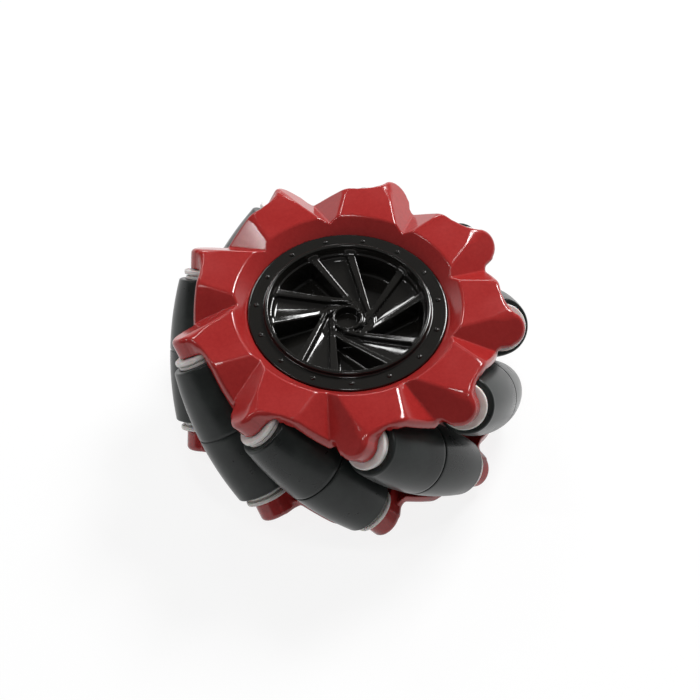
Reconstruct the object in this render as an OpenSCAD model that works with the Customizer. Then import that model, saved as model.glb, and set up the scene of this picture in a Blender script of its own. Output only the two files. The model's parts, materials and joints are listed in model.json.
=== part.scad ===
// Mecanum wheel: two moulded plates hold nine barrel rollers whose axles lie at 45 degrees
// to the wheel's own axis. The wheel lies on its rear face with its axis along +Z, and the
// first roller's middle is on +X.

/* [Wheel] */
// Rolling diameter over the rollers
wheel_d = 97; // [97:0.5:110]
// Width from the rear flats to the front flats
wheel_w = 45; // [44.4:0.1:46]
// Number of rollers around the wheel
roller_count = 9; // [7:1:9]
// Angle between each roller's axle and the wheel's axis
roller_angle = 45; // [44:0.5:46]

/* [Rollers] */
// Greatest diameter of a roller's rubber sleeve
roller_d = 19.8; // [18:0.1:19.8]
// Length of the rubber sleeve
roller_len = 39; // [37:0.5:39.5]
// Diameter of the hard core inside the rubber
core_d = 12; // [11.2:0.1:12.8]
// Bore of the hard core, which takes the bushes
core_bore_d = 8; // [7:0.1:9]
// Width of the parting groove around the sleeve's middle
groove_w = 0.5; // [0.3:0.05:0.8]
// Depth of the parting groove
groove_depth = 0.35; // [0.2:0.05:0.6]
// Chamfer on the sleeve's ends
sleeve_chamfer = 0.5; // [0.3:0.1:0.8]

/* [Bushes and axles] */
// Diameter of a roller's axle pin
axle_d = 3; // [2.5:0.1:3.5]
// Radial running clearance between an axle and its bushes
running_gap = 0.05; // [0.02:0.01:0.1]
// Radial clearance of an axle in its lugs
lug_gap = 0.02; // [0.01:0.01:0.05]
// Diameter of a bush's flange
flange_d = 12.8; // [12:0.1:13.4]
// Thickness of a bush's flange
flange_t = 1.2; // [1:0.1:1.5]
// Diameter of the collar between the flange and the sleeve
collar_d = 10.4; // [9.6:0.1:11]
// Length of the collar between the flange and the sleeve
collar_len = 1.3; // [1:0.1:1.6]
// Length of a bush's spigot inside the core
spigot_len = 9; // [6:0.5:12]
// Gap between a bush's flange and its lug
end_gap = 0.15; // [0.1:0.05:0.3]

/* [Toothed plates] */
// Thickness of a lug along the axle
lug_t = 5.6; // [5.2:0.1:6]
// Radius of a lug's rounded end
lug_r = 4.7; // [4.3:0.1:5]
// Distance from the rolling circle in to the plate's rim
rim_inset = 7.3; // [7:0.1:8]
// Thickness of the toothed shell, measured along the wheel's axis
shell_t = 3.2; // [2.8:0.1:3.4]
// Distance from a roller's axis in to the point where its valley starts
valley_start = 18.8; // [18:0.1:19.5]
// Angle in plan from a tooth's ridge to the next tooth's rising edge
valley_spread = 58.7; // [56:0.1:60]
// Slope of a tooth's rising face
rise_slope = 36.5; // [34:0.5:38]
// Angle where a lug's round end runs into its straight side
lug_side_angle = 60; // [50:1:70]
// Chamfer around the rim of the flats
rim_chamfer = 0.6; // [0.3:0.1:0.8]
// Clearance around a roller's end inside the plate
pocket_gap = 0.8; // [0.6:0.1:0.9]
// Blind depth left beyond an axle in a front lug
lug_skin = 1.4; // [1:0.1:2]
// How far an axle's rear end lies inside its rear lug
axle_recess = 0.6; // [0.4:0.1:1]

/* [Hub] */
// Diameter of the funnel's mouth, where the teeth begin
mouth_d = 61.2; // [60:0.2:61.6]
// Radial clearance between the hub's barrel and the rollers
barrel_gap = 1.1; // [0.8:0.1:1.5]
// Wall of the hub's barrel
barrel_wall = 3; // [2.6:0.1:3.2]
// Width of the ledge that the cap sits on
ledge_w = 2; // [1.6:0.1:2.4]
// Thickness of that ledge
ledge_t = 2; // [1.5:0.1:3]
// Thickness of the webs across the barrel
web_t = 3; // [2.5:0.1:3.5]
// Depth of the front web's face below the front flats
front_web_depth = 13.5; // [13.2:0.1:14.5]
// Depth of the rear web's face above the rear flats
rear_web_depth = 8.5; // [7:0.1:9]
// Width across the flats of the drive socket
hex_af = 12.2; // [12:0.05:12.4]
// Depth of the drive socket
hex_depth = 6; // [5:0.1:6.5]
// Diameter of the boss around the drive socket
hex_boss_d = 20; // [18:0.5:22]
// Depth of that boss's face above the rear flats
hex_boss_depth = 2; // [1:0.1:3]
// Diameter of the hole for the wheel's fixing screw
axle_hole_d = 4.3; // [4.1:0.05:4.5]
// Diameter of the counterbore for that screw's head
head_hole_d = 8.4; // [8:0.1:9]
// Depth of that counterbore
head_hole_depth = 3; // [2:0.1:3.5]

/* [Assembly screws] */
// Number of screws that join the plates
screw_count = 6; // [3:1:8]
// Diameter of the circle that the screws lie on
screw_pcd = 34; // [32:0.5:36]
// Diameter of a screw's shank
screw_d = 2.9; // [2.5:0.1:3]
// Length of a screw's shank
screw_len = 20; // [18:0.5:20.5]
// Diameter of a screw's head
screw_head_d = 5.6; // [5:0.1:6]
// Height of a screw's head
screw_head_h = 2.2; // [1.8:0.1:2.5]
// Depth of the cross recess in a screw's head
recess_depth = 1.2; // [0.8:0.1:1.5]
// Diameter of the bosses that the screws pass through
screw_boss_d = 7.2; // [6.5:0.1:8]
// Radial clearance of a screw in the rear plate
screw_gap = 0.25; // [0.15:0.05:0.3]
// Radial clearance of a screw in the front plate, which it threads into
thread_gap = 0.05; // [0.01:0.01:0.08]

/* [Centre cap] */
// Diameter of the cap
cap_d = 53.2; // [52.6:0.1:53.6]
// Depth of the cap's rim below the front flats
cap_depth = 3.3; // [3:0.1:3.6]
// Thickness of the cap's rim
cap_rim_t = 1.8; // [1.5:0.1:2]
// Radial clearance around the cap
cap_gap = 0.2; // [0.1:0.05:0.3]
// Bevel around the cap's edge
cap_bevel = 0.4; // [0.2:0.1:0.6]
// Diameter of the raised lip around the cap's bowl
lip_d = 44.6; // [43.6:0.2:45.2]
// Height of the lip above the cap's edge
lip_h = 1.4; // [1:0.1:1.8]
// Width of the lip
lip_w = 1.1; // [0.8:0.1:1.4]
// Depth of the bowl's floor below the cap's edge
bowl_depth = 7.8; // [7:0.1:8]
// Wall of the bowl
bowl_wall = 1.3; // [1.2:0.1:1.5]
// Gap between the bowl and the skirt around it
bowl_gap = 0.6; // [0.4:0.1:0.8]
// Width of the two steps inside the bowl's rim
bowl_step = 0.45; // [0.3:0.05:0.6]
// Depth of those steps below the cap's edge
bowl_step_depth = 1.2; // [1:0.1:1.6]
// Depth of the skirt that holds the cap in the barrel
skirt_depth = 3.4; // [2.5:0.1:3.8]

/* [Spokes] */
// Number of twin spokes
spoke_count = 5; // [4:1:6]
// Angle from the first roller to the first spoke's trailing rib
spoke_start = 70.5; // [0:0.5:72]
// Angle at the bowl's wall between the two ribs of a spoke
spoke_open = 28.5; // [26:0.5:32]
// Width of a rib at the bowl's wall
rib_w = 2.4; // [1.8:0.1:2.8]
// Width of a rib at its inner end
rib_tip_w = 1.4; // [1:0.1:1.8]
// Distance from the centre to the line of the leading rib
lead_offset = 4.2; // [4:0.1:5.5]
// Distance from the centre to the line of the trailing rib
trail_offset = 6.2; // [5.5:0.1:6.8]
// Depth of the ribs' outer ends below the cap's edge
rib_depth = 0.6; // [0.4:0.1:1]
// Drop of the spokes from the bowl's wall to the disc
spoke_fall = 2.6; // [2:0.1:3]
// Depth of the web between two ribs below their tops
spoke_web_drop = 1.6; // [1:0.1:2]
// Diameter of the disc that the spokes meet
disc_d = 15; // [14.4:0.2:16]
// Depth of that disc below the cap's edge
disc_depth = 4.6; // [4.2:0.1:5]
// Diameter of the ring at the cap's centre
ring_d = 8.4; // [8:0.1:9]
// Depth of the ring's top below the cap's edge
ring_depth = 2.9; // [2.6:0.1:3.2]
// Diameter of the hollow inside the ring
ring_hole_d = 6.8; // [6.2:0.1:7]
// Depth of that hollow
ring_hole_depth = 2.7; // [2:0.1:3]
// Diameter of a lug nut on the disc
nut_d = 2; // [1.6:0.1:2.2]
// Height of a lug nut
nut_h = 1.4; // [1:0.1:1.6]
// Distance of the lug nuts from the centre
nut_r = 5.6; // [5.5:0.1:6]
// Angle from a trailing rib's outer end back to its lug nut
nut_turn = 4.5; // [0:0.5:10]

/* [Rivets] */
// Number of rivet heads around the cap's rim
rivet_count = 15; // [10:5:20]
// Angle from the first roller to the first rivet head
rivet_start = 14.4; // [0:0.1:24]
// Diameter of a rivet head
rivet_d = 1.3; // [1:0.1:1.6]
// Distance of the rivet heads from the centre
rivet_r = 24.4; // [24.1:0.1:24.8]
// Height of a rivet head
rivet_h = 0.4; // [0.3:0.1:0.5]

/* [Hidden] */
roller_pieces = ["roller_sleeve", "roller_core", "front_bush", "rear_bush", "axle_pin"];
roller_nodes = [for (piece = roller_pieces) for (i = [1 : roller_count]) str(piece, "_", i)];

$fn = 96;
eps = 0.01;
far = 200;

wheel_r = wheel_d / 2;
half_w = wheel_w / 2;
pitch = 360 / roller_count;
axis_r = wheel_r - roller_d / 2;
rim_r = wheel_r - rim_inset;
sleeve_end = roller_len / 2;
flange_in = sleeve_end + collar_len;
flange_out = flange_in + flange_t;
seat = flange_out + end_gap;
lug_face = seat + lug_t;
ridge_y = half_w / tan(roller_angle) - lug_face / sin(roller_angle);
barrel_r = axis_r - roller_d / 2 - barrel_gap;
bore_r = barrel_r - barrel_wall;
mouth_r = mouth_d / 2;
cap_r = cap_d / 2;
cap_edge_z = half_w - cap_depth;
ledge_z = cap_edge_z - cap_rim_t;
ledge_r = cap_r - ledge_w;
front_web_z = half_w - front_web_depth;
rear_web_z = half_w - rear_web_depth;
screw_end_z = screw_len - rear_web_z;
lip_r = lip_d / 2;
skirt_r = ledge_r - cap_gap;
bowl_r = skirt_r - 2 * bowl_wall - bowl_gap;
rib_len = bowl_r + lip_w;
bowl_z = cap_edge_z - bowl_depth;
disc_r = disc_d / 2;
contact_span = 30;
contact_step = 0.5;
side_steps = 12;

red = "firebrick";
rubber = "dimgray";
white = "gainsboro";
black = "#161616";
steel = "silver";

// The widest body of revolution about a roller's axle that stays inside the wheel's rolling
// cylinder: each tangent plane of the cylinder, turned to the angle th, limits the radius.
function tilt(th) = asin(sin(th) * sin(roller_angle));
function sleeve_r(s) = min([for (th = [-contact_span : contact_step : contact_span])
    (wheel_r - axis_r * cos(th) - s * sin(tilt(th))) / cos(tilt(th))]);

// Puts its children on a roller's axle: +Z runs along the axle to the front, +X outwards.
module on_axle(i) {
    rotate([0, 0, i * pitch])
        translate([axis_r, 0, 0])
            rotate([roller_angle, 0, 0])
                children();
}

module each_roller() {
    for (i = [0 : roller_count - 1])
        on_axle(i) children();
}

// Everything is drawn about the wheel's middle plane and then stands on the rear flats.
module on_floor() {
    translate([0, 0, half_w]) children();
}

// The rear plate is the front plate turned over about a roller's middle.
module turned_over() {
    rotate([180, 0, 0]) children();
}

// ---- rollers ----

module roller_sleeve(i) {
    body = sleeve_end - sleeve_chamfer;
    stations = [for (k = [-side_steps : side_steps]) if (k != 0) body * k / side_steps];
    side = [for (s = stations) [sleeve_r(s), s]];
    top = [for (p = side) if (p[1] > 0) p];
    bottom = [for (p = side) if (p[1] < 0) p];
    crest = sleeve_r(groove_w / 2);
    end_r = sleeve_r(body) - sleeve_chamfer;
    outline = concat(
        [[core_d / 2, -sleeve_end], [end_r, -sleeve_end]],
        bottom,
        [[crest, -groove_w / 2], [crest - groove_depth, 0], [crest, groove_w / 2]],
        top,
        [[end_r, sleeve_end], [core_d / 2, sleeve_end]]);
    color(rubber) on_floor() on_axle(i)
        rotate_extrude() polygon(outline);
}

module roller_core(i) {
    color(black) on_floor() on_axle(i)
        difference() {
            translate([0, 0, -sleeve_end]) cylinder(d = core_d, h = roller_len);
            translate([0, 0, -sleeve_end - 1]) cylinder(d = core_bore_d, h = roller_len + 2);
        }
}

module bush() {
    bore = axle_d + 2 * running_gap;
    difference() {
        union() {
            translate([0, 0, sleeve_end - spigot_len])
                cylinder(d = core_bore_d, h = spigot_len + collar_len / 2);
            translate([0, 0, sleeve_end]) cylinder(d = collar_d, h = collar_len + flange_t / 2);
            translate([0, 0, flange_in]) cylinder(d = flange_d, h = flange_t);
        }
        translate([0, 0, sleeve_end - spigot_len - 1])
            cylinder(d = bore, h = spigot_len + collar_len + flange_t + 2);
    }
}

module front_bush(i) {
    color(white) on_floor() on_axle(i) bush();
}

module rear_bush(i) {
    color(white) on_floor() on_axle(i) turned_over() bush();
}

module axle_pin(i) {
    rear_end = lug_face - axle_recess;
    color(steel) on_floor() on_axle(i)
        translate([0, 0, -rear_end])
            cylinder(d = axle_d, h = rear_end + lug_face - lug_skin);
}

// ---- toothed plates ----

// The space between a tooth's lug face and the next tooth's rising face. The two planes
// meet in the valley line, which starts at a point on the ridge.
module valley(i) {
    rotate([0, 0, i * pitch])
        intersection() {
            translate([axis_r, 0, 0])
                rotate([roller_angle, 0, 0])
                    translate([-far / 2, -far / 2, lug_face]) cube(far);
            translate([axis_r - valley_start, ridge_y, half_w])
                rotate([0, 0, -valley_spread])
                    rotate([-rise_slope, 0, 0])
                        translate([-far / 2, -far / 2, 0]) cube(far);
        }
}

module valleys() {
    for (i = [0 : roller_count - 1]) valley(i);
}

// The disc that the teeth are cut from.
module rim_disc() {
    cylinder(r = rim_r, h = half_w - rim_chamfer);
    translate([0, 0, half_w - rim_chamfer])
        cylinder(r1 = rim_r, r2 = rim_r - rim_chamfer, h = rim_chamfer);
}

// The space under the toothed shell.
module shell_hollow() {
    translate([0, 0, -shell_t])
        difference() {
            cylinder(r = rim_r + 1, h = half_w);
            valleys();
        }
}

// The lug's outline, looking along the axle: round at the rim, straight up to the flat.
module lug_outline() {
    root = valley_start / 2;
    top = lug_r * 2;
    shoulder = lug_r / 4;
    side = [lug_r * cos(lug_side_angle), lug_r * sin(lug_side_angle)];
    circle(lug_r);
    polygon([[-root, -lug_r], [0, -lug_r], [0, 0], side, [shoulder, top], [-root, top]]);
}

module lugs() {
    intersection() {
        each_roller() translate([0, 0, seat]) linear_extrude(lug_t) lug_outline();
        cylinder(r = far, h = half_w);
    }
}

// The barrel's half in this plate, widening to the mouth under the teeth.
module barrel_half() {
    flare_z = half_w / 3;
    rotate_extrude()
        polygon([[0, 0], [barrel_r, 0], [barrel_r, flare_z], [mouth_r, 2 * flare_z],
            [mouth_r, half_w], [0, half_w]]);
}

// Room for the rollers' ends, with a seat for each bush's flange.
module roller_pockets() {
    end_r = sleeve_r(sleeve_end) + pocket_gap;
    depth = roller_len / 8;
    each_roller() {
        translate([0, 0, sleeve_end + pocket_gap / 2 - depth]) cylinder(r = end_r, h = depth);
        cylinder(r = flange_d / 2 + pocket_gap, h = seat);
    }
}

// The toothed shell, the barrel's half and the lugs, with room for the rollers and axles.
module plate_form(axle_hole_end) {
    difference() {
        union() {
            difference() {
                rim_disc();
                shell_hollow();
                translate([0, 0, -1]) cylinder(r = mouth_r - eps, h = half_w + 2);
            }
            barrel_half();
            lugs();
        }
        valleys();
        roller_pockets();
        each_roller() cylinder(d = axle_d + 2 * lug_gap, h = axle_hole_end);
    }
}

module at_screws() {
    for (k = [0 : screw_count - 1])
        rotate([0, 0, k * 360 / screw_count])
            translate([screw_pcd / 2, 0, 0])
                children();
}

// The funnel inside the teeth, down to the ledge that the cap sits on.
module funnel() {
    r = cap_r + cap_gap;
    top = half_w + 1;
    rotate_extrude()
        polygon([[0, ledge_z], [r, ledge_z], [r, half_w - (mouth_r - r)], [mouth_r, half_w],
            [mouth_r, top], [0, top]]);
}

// The barrel's bore, and the hole inside the ledge at its mouth.
module bore() {
    depth = ledge_z - ledge_t;
    translate([0, 0, -1]) cylinder(r = bore_r, h = depth + 1);
    translate([0, 0, depth - eps]) cylinder(r = ledge_r, h = ledge_t + 1);
}

// A plate with its web and screw bosses, before the holes through the web.
module plate(web_z, axle_hole_end) {
    difference() {
        plate_form(axle_hole_end);
        funnel();
        bore();
    }
    translate([0, 0, web_z - web_t]) cylinder(r = bore_r + eps, h = web_t);
    at_screws() cylinder(d = screw_boss_d, h = web_z - web_t / 2);
}

module front_plate() {
    color(red) on_floor()
        difference() {
            union() {
                plate(front_web_z, lug_face - lug_skin);
                cylinder(d = head_hole_d + 2 * barrel_wall, h = front_web_z - web_t / 2);
            }
            translate([0, 0, -1]) cylinder(d = axle_hole_d, h = half_w);
            translate([0, 0, front_web_z - head_hole_depth])
                cylinder(d = head_hole_d, h = half_w);
            translate([0, 0, -1])
                at_screws() cylinder(d = screw_d + 2 * thread_gap, h = screw_end_z + 2);
        }
}

module rear_plate() {
    socket_z = half_w - hex_boss_depth;
    color(red) on_floor() turned_over()
        difference() {
            union() {
                plate(rear_web_z, far);
                cylinder(d = hex_boss_d, h = socket_z);
            }
            translate([0, 0, -1]) cylinder(d = axle_hole_d, h = half_w);
            translate([0, 0, socket_z - hex_depth])
                cylinder(d = hex_af / cos(30), h = hex_depth + 1, $fn = 6);
            translate([0, 0, -1])
                at_screws() cylinder(d = screw_d + 2 * screw_gap, h = rear_web_z + 2);
        }
}

// ---- screws ----

module assembly_screws() {
    slot_w = screw_head_d / 10;
    slot_len = screw_head_d * 0.6;
    color(steel) on_floor() turned_over() at_screws()
        difference() {
            union() {
                translate([0, 0, rear_web_z - screw_len]) cylinder(d = screw_d, h = screw_len);
                translate([0, 0, rear_web_z]) cylinder(d = screw_head_d, h = screw_head_h);
            }
            for (turn = [0, 90])
                rotate([0, 0, turn])
                    translate([-slot_len / 2, -slot_w / 2,
                        rear_web_z + screw_head_h - recess_depth])
                        cube([slot_len, slot_w, recess_depth + 1]);
        }
}

// ---- centre cap ----

// Rim, lip and bowl as one turned outline, with the skirt that holds the cap in the barrel.
module cap_dish() {
    skirt_z = ledge_z - skirt_depth;
    foot_r = bowl_r - bowl_wall;
    step_z = cap_edge_z - bowl_step_depth;
    rotate_extrude()
        polygon([[0, bowl_z - bowl_wall], [bowl_r, bowl_z - bowl_wall],
            [bowl_r + bowl_wall, bowl_z + bowl_wall], [bowl_r + bowl_wall, ledge_z],
            [skirt_r - bowl_wall, ledge_z], [skirt_r - bowl_wall, skirt_z],
            [skirt_r, skirt_z], [skirt_r, ledge_z], [cap_r, ledge_z],
            [cap_r, cap_edge_z - cap_bevel], [cap_r - cap_bevel, cap_edge_z],
            [lip_r + cap_bevel, cap_edge_z], [lip_r, cap_edge_z + lip_h],
            [lip_r - lip_w / 2, cap_edge_z + lip_h], [lip_r - lip_w, cap_edge_z + lip_h / 3],
            [bowl_r - bowl_step, step_z], [bowl_r - 2 * bowl_step, step_z],
            [foot_r, bowl_z], [0, bowl_z]]);
}

function polar(r, a) = [r * cos(a), r * sin(a)];

// Where a rib's line, which passes the centre at the given offset and meets the bowl's wall
// at the given angle, crosses the circle of radius r.
function on_rib(angle, offset, r) =
    polar(r, angle + asin(offset / bowl_r) - asin(offset / r));

module rib(angle, offset) {
    rotate([0, 0, angle + asin(offset / bowl_r)])
        translate([0, -offset])
            polygon([[0, -rib_tip_w / 2], [rib_len, -rib_w / 2], [rib_len, rib_w / 2],
                [0, rib_tip_w / 2]]);
}

module spoke_web(angle) {
    lead = angle + spoke_open;
    polygon([on_rib(angle, trail_offset, disc_r), polar(rib_len, angle), polar(rib_len, lead),
        on_rib(lead, lead_offset, disc_r)]);
}

// Keeps what lies between the bowl's floor and a surface that falls towards the centre.
module under_fall(drop) {
    top = cap_edge_z - rib_depth - drop;
    intersection() {
        rotate_extrude()
            polygon([[disc_r - 1, bowl_z - eps], [bowl_r, bowl_z - eps], [bowl_r, top],
                [disc_r, top - spoke_fall], [disc_r - 1, top - spoke_fall]]);
        translate([0, 0, bowl_z - 1]) linear_extrude(half_w) children();
    }
}

module spokes() {
    for (k = [0 : spoke_count - 1]) {
        angle = spoke_start + k * 360 / spoke_count;
        under_fall(0) rib(angle, trail_offset);
        under_fall(0) rib(angle + spoke_open, lead_offset);
        under_fall(spoke_web_drop) spoke_web(angle);
    }
}

// The disc that the spokes meet, with the ring and the lug nuts on it.
module cap_centre() {
    root = bowl_z - eps;
    disc_z = cap_edge_z - disc_depth;
    ring_z = cap_edge_z - ring_depth;
    difference() {
        union() {
            translate([0, 0, root]) cylinder(r = disc_r, h = disc_z - root);
            translate([0, 0, root]) cylinder(d = ring_d, h = ring_z - root);
            for (k = [0 : spoke_count - 1])
                rotate([0, 0, spoke_start - nut_turn + k * 360 / spoke_count])
                    translate([nut_r, 0, root])
                        cylinder(d = nut_d, h = disc_z + nut_h - root);
        }
        translate([0, 0, ring_z - ring_hole_depth])
            cylinder(d = ring_hole_d, h = ring_hole_depth + 1);
    }
}

module rivets() {
    root = cap_edge_z - cap_rim_t / 2;
    for (k = [0 : rivet_count - 1])
        rotate([0, 0, rivet_start + k * 360 / rivet_count])
            translate([rivet_r, 0, root])
                cylinder(d = rivet_d, h = cap_edge_z + rivet_h - root);
}

module centre_cap() {
    color(black) on_floor() {
        cap_dish();
        spokes();
        cap_centre();
        rivets();
    }
}

front_plate();
rear_plate();
centre_cap();
assembly_screws();
for (i = [1 : roller_count]) {
    roller_sleeve(i - 1);
    roller_core(i - 1);
    front_bush(i - 1);
    rear_bush(i - 1);
    axle_pin(i - 1);
}
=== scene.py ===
# %% [markdown]
# # Mecanum wheel
# Two moulded red plates hold nine barrel rollers at 45 degrees to the wheel's axis, and a black
# cap covers the middle. The wheel lies on its rear face with its axis along +Z. The packed
# solids give every place and size; this file gives each visible piece its moulded edges and
# its finish.

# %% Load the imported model
import json
import math

import bpy
import numpy as np
from mathutils import Matrix, Vector


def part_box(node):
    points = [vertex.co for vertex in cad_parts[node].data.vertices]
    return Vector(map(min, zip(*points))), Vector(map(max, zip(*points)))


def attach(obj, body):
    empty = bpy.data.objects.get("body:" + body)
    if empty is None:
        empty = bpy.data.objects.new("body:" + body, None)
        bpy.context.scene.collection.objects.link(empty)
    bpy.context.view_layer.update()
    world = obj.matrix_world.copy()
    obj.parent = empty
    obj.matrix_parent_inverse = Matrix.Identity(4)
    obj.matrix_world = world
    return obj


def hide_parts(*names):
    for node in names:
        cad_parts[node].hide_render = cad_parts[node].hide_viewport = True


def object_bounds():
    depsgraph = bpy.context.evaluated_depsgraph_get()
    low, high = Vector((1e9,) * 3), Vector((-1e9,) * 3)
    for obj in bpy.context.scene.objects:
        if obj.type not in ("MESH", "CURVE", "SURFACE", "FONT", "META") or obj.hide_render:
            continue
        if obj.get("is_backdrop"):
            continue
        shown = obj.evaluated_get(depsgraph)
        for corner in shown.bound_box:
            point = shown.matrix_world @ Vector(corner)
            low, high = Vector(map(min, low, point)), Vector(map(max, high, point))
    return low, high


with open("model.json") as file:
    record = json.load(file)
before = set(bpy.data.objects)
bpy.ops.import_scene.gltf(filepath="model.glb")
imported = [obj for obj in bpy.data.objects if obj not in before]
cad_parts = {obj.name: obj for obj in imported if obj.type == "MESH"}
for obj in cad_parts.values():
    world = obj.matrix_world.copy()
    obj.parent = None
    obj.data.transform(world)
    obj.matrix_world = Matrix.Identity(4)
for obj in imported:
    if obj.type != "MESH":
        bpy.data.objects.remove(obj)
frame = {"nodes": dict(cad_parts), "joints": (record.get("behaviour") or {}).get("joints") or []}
cad_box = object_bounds()
MM = 0.001

# %% [markdown]
# ## Sizes
# The wheel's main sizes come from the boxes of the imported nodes, and the rollers' places and
# directions come from their hinges. What the boxes don't show, such as a lug's length along
# its axle, is stated here in millimetres. From here on, plates are described from the middle
# plane: z is 0 where they meet and 22.5 on the flats.


# %% Sizes, in millimetres
def size_of(node):
    low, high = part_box(node)
    return [(b - a) / MM for a, b in zip(low, high)]


half_w = size_of("front_plate")[2]
cap_r = size_of("centre_cap")[0] / 2
hinges = [joint for joint in frame["joints"] if joint["type"] == "hinge"]
roller_count = len(hinges)
pitch = 2 * math.pi / roller_count
axis_r = math.hypot(*hinges[0]["pos_m"][:2]) / MM
lean = math.acos(hinges[0]["axis"][2])
sleeve_r = 9.9
wheel_r = axis_r + sleeve_r
# Places along a roller's axle, counted from its middle.
sleeve_end = 19.5
flange_in = sleeve_end + 1.3
flange_out = flange_in + 1.2
seat = flange_out + 0.15
lug_face = seat + 5.6
# The lugs, the plates' shell, and the barrel with the cap's seat in its mouth.
lug_r = 4.7
lug_side = math.radians(60)
hole_r = 1.52
rim_r = wheel_r - 7.3
shell_t = 3.2
mouth_r = 30.6
barrel_r = axis_r - sleeve_r - 1.1
bore_r = barrel_r - 3
cap_edge = half_w - 3.3
ledge = cap_edge - 1.8
print("half width", round(half_w, 2), "rolling radius", round(wheel_r, 2), "rollers", roller_count)

# %% [markdown]
# ## A mould in numbers
# A moulded piece has no sharp edge, and its roundings run into each other at every corner. A
# bevel modifier leaves spikes where many such edges meet on thin faces. A distance field does
# it cleanly: each form is a function that is negative inside, and two forms are joined or cut
# with a rounded corner of any radius. The surface where the function is zero becomes a mesh.


# %% Join and cut with rounded corners
def cut(a, b, r):
    """Inside both a and b, with a corner of radius r."""
    return np.minimum(-r, np.maximum(a, b)) + np.hypot(np.maximum(a + r, 0), np.maximum(b + r, 0))


def join(a, b, r):
    """Inside a or b, with a fillet of radius r between them."""
    return -cut(-a, -b, r)


def between(value, low, high):
    """Inside where the value lies between two limits."""
    return np.abs(value - (low + high) / 2) - (high - low) / 2


# %% [markdown]
# The mesh is found on a grid of small cells. Whole blocks of cells that are far from the surface
# are skipped. Each cell that the surface crosses gets one point, points of neighbouring cells
# are joined to faces, and every point is then moved onto the surface along its slope.


# %% Slope of a field
def slope(form, points, reach):
    result = np.empty_like(points)
    for axis in range(3):
        ahead, behind = points.copy(), points.copy()
        ahead[axis] += reach
        behind[axis] -= reach
        result[axis] = (form(ahead) - form(behind)) / (2 * reach)
    return result


# %% Sample a field near its surface
BLOCK = 6
BATCH = 400000
FAR = 9.0


def sample(form, low, high, step):
    counts = [math.ceil((b - a + 2 * step) / step / BLOCK) * BLOCK + 1 for a, b in zip(low, high)]
    axes = [a - step + step * np.arange(count) for a, count in zip(low, counts)]
    middles = [axis[BLOCK // 2::BLOCK][:(len(axis) - 1) // BLOCK] for axis in axes]
    coarse = form(np.stack(np.meshgrid(*middles, indexing="ij")).reshape(3, -1))
    coarse = coarse.reshape([len(middle) for middle in middles])
    reach = 1.5 * step * BLOCK * math.sqrt(3) / 2

    def spread(blocks):
        return blocks.repeat(BLOCK, 0).repeat(BLOCK, 1).repeat(BLOCK, 2)

    field = np.full(counts, FAR, np.float32)
    field[:-1, :-1, :-1] = spread(np.where(coarse < 0, -FAR, FAR))
    near = np.zeros(counts, bool)
    for i, j, k in CORNERS:
        near[i:counts[0] - 1 + i, j:counts[1] - 1 + j, k:counts[2] - 1 + k] |= spread(
            np.abs(coarse) < reach)
    cells = np.argwhere(near)
    for start in range(0, len(cells), BATCH):
        part = cells[start:start + BATCH].T
        field[tuple(part)] = form(np.stack([axes[d][part[d]] for d in range(3)]))
    return field, axes


CORNERS = np.array([(i, j, k) for i in (0, 1) for j in (0, 1) for k in (0, 1)])


# %% Turn the samples into points and faces
def surface(form, low, high, step):
    field, axes = sample(form, low, high, step)
    inside = field < 0
    size = np.array(field.shape) - 1
    filled = sum(inside[i:size[0] + i, j:size[1] + j, k:size[2] + k].astype(np.int8)
                 for i, j, k in CORNERS)
    cells = np.argwhere((filled > 0) & (filled < 8))
    index = np.full(filled.shape, -1, np.int32)
    index[tuple(cells.T)] = np.arange(len(cells))
    values = np.stack([field[tuple((cells + corner).T)] for corner in CORNERS], 1).astype(float)
    total, hits = np.zeros((len(cells), 3)), np.zeros((len(cells), 1))
    for a in range(8):
        for bit in (1, 2, 4):
            if a & bit:
                continue
            b = a | bit
            crossed = (values[:, a] < 0) != (values[:, b] < 0)
            share = np.where(crossed, values[:, a] - values[:, b], 1)
            share = (values[:, a] / share)[:, None]
            total += (CORNERS[a] + share * (CORNERS[b] - CORNERS[a])) * crossed[:, None]
            hits += crossed[:, None]
    points = (np.array([axis[0] for axis in axes]) + step * (cells + total / hits)).T
    return settle(form, points, step), faces_between(inside, index)


def faces_between(inside, index):
    size = np.array(inside.shape) - 1
    steps = np.eye(3, dtype=int)
    faces = []
    for d in range(3):
        u, w = (d + 1) % 3, (d + 2) % 3
        near_end, far_end = [slice(None)] * 3, [slice(None)] * 3
        near_end[d], far_end[d] = slice(0, -1), slice(1, None)
        edges = np.argwhere(inside[tuple(near_end)] != inside[tuple(far_end)])
        kept = (edges[:, u] > 0) & (edges[:, w] > 0) & (edges[:, u] < size[u]) & (edges[:, w] < size[w])
        edges = edges[kept]
        around = (0 * steps[u], steps[u], steps[u] + steps[w], steps[w])
        quads = np.stack([index[tuple((edges - offset).T)] for offset in around], 1)
        backwards = ~inside[tuple(edges.T)]
        quads[backwards] = quads[backwards][:, ::-1]
        faces.append(quads)
    return np.concatenate(faces)


def settle(form, points, step):
    for _ in range(3):
        direction = slope(form, points, step / 20)
        move = form(points) / np.maximum((direction * direction).sum(0), 0.25)
        points = points - direction * np.clip(move, -0.4 * step, 0.4 * step)
    return points


# %% [markdown]
# The faces become a Blender mesh. A Decimate modifier thins it where the surface is flat, and
# the field's own slope gives each point its normal, so a rounding of half a millimetre shines
# as a smooth line although only two or three faces cross it.


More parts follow.
